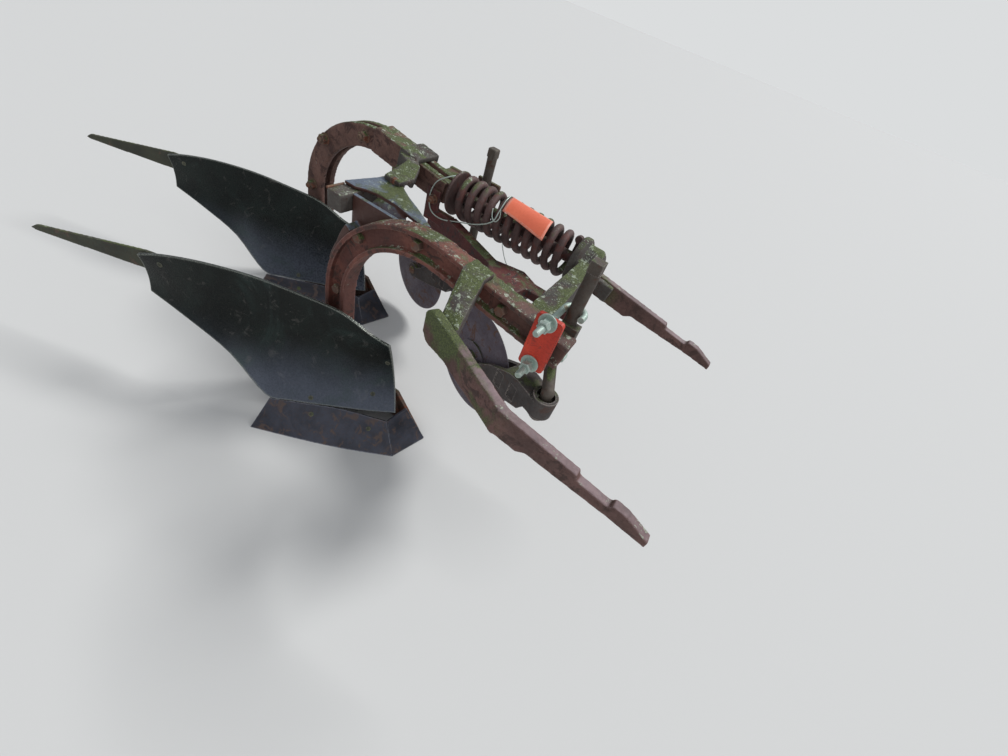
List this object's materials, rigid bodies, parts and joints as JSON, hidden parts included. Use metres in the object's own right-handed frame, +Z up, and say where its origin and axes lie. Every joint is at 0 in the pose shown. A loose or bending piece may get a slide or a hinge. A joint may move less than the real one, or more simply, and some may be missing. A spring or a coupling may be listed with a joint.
{
  "type": "two-bottom moldboard plough",
  "caption": "Mounted moldboard plough with gooseneck beams, a two-prong hitch, a cushion spring and rolling disc coulters on swivelling yokes.",
  "frame": {"origin": "on the floor, at the centre of the outline", "axes": "+X is the direction of travel, +Y to the left, +Z up"},
  "size_m": [2.0796, 0.8848, 0.769],
  "materials": {
    "front_beam_paint": "faded red-brown paint over rust",
    "rear_beam_rust": "grey-brown rust with moss",
    "frog_rust": "rough rusted casting",
    "moldboard_steel": "dark weathered steel",
    "share_steel": "worn blue-grey steel",
    "landside_steel": "rusted steel",
    "tail_steel": "dark olive weathered steel",
    "cross_frame": "mossy weathered iron",
    "gusset_steel": "blue-grey weathered plate",
    "channel_red": "dark red paint over rust",
    "prong_rust": "brown-mauve rust",
    "spring_rust": "brown-mauve rust",
    "clamp_red": "vermilion paint with chipped edges",
    "rear_clamp_rust": "rust",
    "bolt_zinc": "dull galvanised steel",
    "shank_steel": "grey-brown weathered steel",
    "yoke_iron": "charcoal casting",
    "disc_steel": "grey-violet rolled steel with rust"
  },
  "bodies": {
    "plough": {"front_beam": "front_beam_paint", "rear_beam": "rear_beam_rust", "beam_spacers": "rear_beam_rust", "beam_plate": "rear_beam_rust", "front_frog": "frog_rust", "rear_frog": "frog_rust", "front_moldboard": "moldboard_steel", "rear_moldboard": "moldboard_steel", "front_share": "share_steel", "rear_share": "share_steel", "front_landside": "landside_steel", "rear_landside": "landside_steel", "front_tail": "tail_steel", "rear_tail": "tail_steel", "front_brace": "landside_steel", "rear_brace": "landside_steel", "cross_bar": "cross_frame", "gusset_bracket": "gusset_steel", "hook_clamp": "cross_frame", "diagonal_channel": "channel_red", "spring_seat": "cross_frame", "draft_rod": "spring_rust", "coil_spring": "spring_rust", "cross_casting": "cross_frame", "prong_arm": "cross_frame", "right_prong": "prong_rust", "left_prong": "prong_rust", "front_clamp": "clamp_red", "rear_clamp": "rear_clamp_rust", "front_hook_bolts": "bolt_zinc", "rear_hook_bolts": "rear_clamp_rust", "front_shank": "shank_steel", "rear_shank": "shank_steel"},
    "front_coulter_yoke": {"front_yoke": "yoke_iron"},
    "front_coulter_disc": {"front_disc": "disc_steel"},
    "rear_coulter_yoke": {"rear_yoke": "yoke_iron"},
    "rear_coulter_disc": {"rear_disc": "disc_steel"}
  },
  "joints": [
    {"name": "front_coulter_swivel", "type": "hinge", "parent": "plough", "child": "front_coulter_yoke", "pos_m": [0.76423, -0.08261, 0.445], "axis": [0, 0, 1], "range_deg": [-3, 47]},
    {"name": "front_disc_spin", "type": "hinge", "parent": "front_coulter_yoke", "child": "front_coulter_disc", "pos_m": [0.5315, 0.01142, 0.348], "axis": [0.3746, 0.9272, 0], "continuous": true},
    {"name": "rear_coulter_swivel", "type": "hinge", "parent": "plough", "child": "rear_coulter_yoke", "pos_m": [0.27722, 0.32139, 0.306], "axis": [0, 0, 1], "range_deg": [-6, 44]},
    {"name": "rear_disc_spin", "type": "hinge", "parent": "rear_coulter_yoke", "child": "rear_coulter_disc", "pos_m": [0.0399, 0.40311, 0.209], "axis": [0.3256, 0.9455, 0], "continuous": true}
  ]
}
